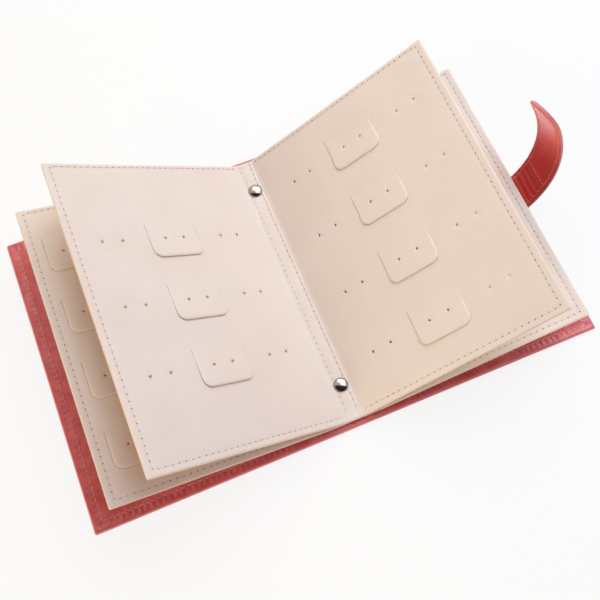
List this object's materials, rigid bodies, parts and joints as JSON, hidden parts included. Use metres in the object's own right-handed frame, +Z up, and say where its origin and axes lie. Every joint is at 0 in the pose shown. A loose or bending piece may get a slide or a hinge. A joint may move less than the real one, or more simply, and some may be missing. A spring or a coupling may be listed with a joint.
{
  "type": "earring book",
  "caption": "Open earring storage book: red leathercloth cover, cream leaves with stud holes and lift-up flaps riveted to the spine, and a magnetic closing strap.",
  "frame": {"origin": "middle of the spine's underside, on the table", "axes": "+X across the open book to the back cover, +Y up the page, +Z up from the table"},
  "size_m": [0.4076, 0.2344, 0.1044],
  "materials": {
    "red_leathercloth": "grained, satin",
    "red_lining": "fine grain, satin",
    "cream_leathercloth": "fine grain, matt",
    "board": "raw greyboard",
    "leaf_core": "pressed felt",
    "nickel": "polished",
    "magnet_steel": "plain"
  },
  "bodies": {
    "spine": {"spine_skin": "red_leathercloth", "spine_board": "board", "spine_lining": "red_lining", "outer_folio_strip": "cream_leathercloth", "inner_folio_strip": "cream_leathercloth", "upper_rivet": "nickel", "lower_rivet": "nickel", "upper_rivet_back": "nickel", "lower_rivet_back": "nickel"},
    "front_cover": {"front_cover_skin": "red_leathercloth", "front_cover_board": "board", "front_cover_lining": "red_lining", "front_cover_magnet": "magnet_steel"},
    "back_cover": {"back_cover_skin": "red_leathercloth", "back_cover_board": "board", "back_cover_lining": "red_lining"},
    "fold_1": {"leaf_1_fold": "cream_leathercloth"},
    "leaf_1": {"leaf_1_front_skin": "cream_leathercloth", "leaf_1_core": "leaf_core", "leaf_1_back_skin": "cream_leathercloth"},
    "flap_1_1": {"leaf_1_flap_1": "cream_leathercloth"},
    "flap_1_2": {"leaf_1_flap_2": "cream_leathercloth"},
    "flap_1_3": {"leaf_1_flap_3": "cream_leathercloth"},
    "flap_1_4": {"leaf_1_flap_4": "cream_leathercloth"},
    "fold_2": {"leaf_2_fold": "cream_leathercloth"},
    "leaf_2": {"leaf_2_front_skin": "cream_leathercloth", "leaf_2_core": "leaf_core", "leaf_2_back_skin": "cream_leathercloth"},
    "flap_2_1": {"leaf_2_flap_1": "cream_leathercloth"},
    "flap_2_2": {"leaf_2_flap_2": "cream_leathercloth"},
    "flap_2_3": {"leaf_2_flap_3": "cream_leathercloth"},
    "fold_3": {"leaf_3_fold": "cream_leathercloth"},
    "leaf_3": {"leaf_3_front_skin": "cream_leathercloth", "leaf_3_core": "leaf_core", "leaf_3_back_skin": "cream_leathercloth"},
    "flap_3_1": {"leaf_3_flap_1": "cream_leathercloth"},
    "flap_3_2": {"leaf_3_flap_2": "cream_leathercloth"},
    "flap_3_3": {"leaf_3_flap_3": "cream_leathercloth"},
    "flap_3_4": {"leaf_3_flap_4": "cream_leathercloth"},
    "fold_4": {"leaf_4_fold": "cream_leathercloth"},
    "leaf_4": {"leaf_4_front_skin": "cream_leathercloth", "leaf_4_core": "leaf_core", "leaf_4_back_skin": "cream_leathercloth"},
    "flap_4_1": {"leaf_4_flap_1": "cream_leathercloth"},
    "flap_4_2": {"leaf_4_flap_2": "cream_leathercloth"},
    "flap_4_3": {"leaf_4_flap_3": "cream_leathercloth"},
    "strap_base": {"strap_base_skin": "red_leathercloth", "strap_base_filler": "board", "strap_base_lining": "red_lining"},
    "strap_end": {"strap_end_skin": "red_leathercloth", "strap_end_filler": "board", "strap_end_lining": "red_lining", "strap_magnet": "magnet_steel"}
  },
  "joints": [
    {"name": "front_cover_fold", "type": "hinge", "parent": "spine", "child": "front_cover", "pos_m": [-0.023, 0, 0.003], "axis": [0, 1, 0], "range_deg": [0, 90]},
    {"name": "back_cover_fold", "type": "hinge", "parent": "spine", "child": "back_cover", "pos_m": [0.023, 0, 0.003], "axis": [0, -1, 0], "range_deg": [0, 90]},
    {"name": "leaf_1_carry", "type": "hinge", "parent": "spine", "child": "fold_1", "pos_m": [-0.0195, 0, 0.0053], "axis": [0, 1, 0], "range_deg": [0, 73]},
    {"name": "leaf_1_turn", "type": "hinge", "parent": "fold_1", "child": "leaf_1", "pos_m": [-0.02715, 0, 0.00764], "axis": [0, -1, 0], "range_deg": [-18, 0]},
    {"name": "leaf_1_flap_1_lift", "type": "hinge", "parent": "leaf_1", "child": "flap_1_1", "pos_m": [-0.14315, 0.08635, 0.0431], "axis": [0.9563, 0, -0.2924], "range_deg": [-45, 0]},
    {"name": "leaf_1_flap_2_lift", "type": "hinge", "parent": "leaf_1", "child": "flap_1_2", "pos_m": [-0.14315, 0.03665, 0.0431], "axis": [0.9563, 0, -0.2924], "range_deg": [-45, 0]},
    {"name": "leaf_1_flap_3_lift", "type": "hinge", "parent": "leaf_1", "child": "flap_1_3", "pos_m": [-0.14315, -0.01305, 0.0431], "axis": [0.9563, 0, -0.2924], "range_deg": [-45, 0]},
    {"name": "leaf_1_flap_4_lift", "type": "hinge", "parent": "leaf_1", "child": "flap_1_4", "pos_m": [-0.14315, -0.06275, 0.0431], "axis": [0.9563, 0, -0.2924], "range_deg": [-45, 0]},
    {"name": "leaf_2_carry", "type": "hinge", "parent": "spine", "child": "fold_2", "pos_m": [-0.0062, 0, 0.0076], "axis": [0, 1, 0], "range_deg": [0, 55.3]},
    {"name": "leaf_2_turn", "type": "hinge", "parent": "fold_2", "child": "leaf_2", "pos_m": [-0.01278, 0, 0.01215], "axis": [0, -1, 0], "range_deg": [-55.3, 0]},
    {"name": "leaf_2_flap_1_lift", "type": "hinge", "parent": "leaf_2", "child": "flap_2_1", "pos_m": [-0.07337, 0.0615, 0.05411], "axis": [0.8221, 0, -0.5693], "range_deg": [-45, 0]},
    {"name": "leaf_2_flap_2_lift", "type": "hinge", "parent": "leaf_2", "child": "flap_2_2", "pos_m": [-0.07337, 0.0118, 0.05411], "axis": [0.8221, 0, -0.5693], "range_deg": [-45, 0]},
    {"name": "leaf_2_flap_3_lift", "type": "hinge", "parent": "leaf_2", "child": "flap_2_3", "pos_m": [-0.07337, -0.0379, 0.05411], "axis": [0.8221, 0, -0.5693], "range_deg": [-45, 0]},
    {"name": "leaf_3_carry", "type": "hinge", "parent": "spine", "child": "fold_3", "pos_m": [0.0062, 0, 0.0076], "axis": [0, -1, 0], "range_deg": [0, 58]},
    {"name": "leaf_3_turn", "type": "hinge", "parent": "fold_3", "child": "leaf_3", "pos_m": [0.01298, 0, 0.01184], "axis": [0, 1, 0], "range_deg": [-58, 0]},
    {"name": "leaf_3_flap_1_lift", "type": "hinge", "parent": "leaf_3", "child": "flap_3_1", "pos_m": [0.07549, 0.08755, 0.05089], "axis": [0.848, 0, 0.5299], "range_deg": [-45, 0]},
    {"name": "leaf_3_flap_2_lift", "type": "hinge", "parent": "leaf_3", "child": "flap_3_2", "pos_m": [0.07549, 0.03785, 0.05089], "axis": [0.848, 0, 0.5299], "range_deg": [-45, 0]},
    {"name": "leaf_3_flap_3_lift", "type": "hinge", "parent": "leaf_3", "child": "flap_3_3", "pos_m": [0.07549, -0.01185, 0.05089], "axis": [0.848, 0, 0.5299], "range_deg": [-45, 0]},
    {"name": "leaf_3_flap_4_lift", "type": "hinge", "parent": "leaf_3", "child": "flap_3_4", "pos_m": [0.07549, -0.06155, 0.05089], "axis": [0.848, 0, 0.5299], "range_deg": [-45, 0]},
    {"name": "leaf_4_carry", "type": "hinge", "parent": "spine", "child": "fold_4", "pos_m": [0.0195, 0, 0.0053], "axis": [0, -1, 0], "range_deg": [0, 77]},
    {"name": "leaf_4_turn", "type": "hinge", "parent": "fold_4", "child": "leaf_4", "pos_m": [0.02729, 0, 0.0071], "axis": [0, 1, 0], "range_deg": [-18, 0]},
    {"name": "leaf_4_flap_1_lift", "type": "hinge", "parent": "leaf_4", "child": "flap_4_1", "pos_m": [0.10057, 0.0627, 0.02402], "axis": [0.9744, 0, 0.225], "range_deg": [-45, 0]},
    {"name": "leaf_4_flap_2_lift", "type": "hinge", "parent": "leaf_4", "child": "flap_4_2", "pos_m": [0.10057, 0.013, 0.02402], "axis": [0.9744, 0, 0.225], "range_deg": [-45, 0]},
    {"name": "leaf_4_flap_3_lift", "type": "hinge", "parent": "leaf_4", "child": "flap_4_3", "pos_m": [0.10057, -0.0367, 0.02402], "axis": [0.9744, 0, 0.225], "range_deg": [-45, 0]},
    {"name": "strap_base_bend", "type": "hinge", "parent": "back_cover", "child": "strap_base", "pos_m": [0.1973, 0.007, 0.003], "axis": [0, -1, 0], "range_deg": [0, 7], "stiffness_Nm_per_rad": 0.05},
    {"name": "strap_end_bend", "type": "hinge", "parent": "strap_base", "child": "strap_end", "pos_m": [0.20605, 0.01166, 0.05853], "axis": [0.0821, -0.9966, 0.0108], "range_deg": [0, 50], "stiffness_Nm_per_rad": 0.05}
  ],
  "couplings": [
    {"joint": "leaf_1_carry", "follows": "front_cover_fold", "ratio": 0.81111},
    {"joint": "leaf_2_carry", "follows": "front_cover_fold", "ratio": 0.61444},
    {"joint": "leaf_3_carry", "follows": "back_cover_fold", "ratio": 0.64444},
    {"joint": "leaf_4_carry", "follows": "back_cover_fold", "ratio": 0.85556}
  ]
}
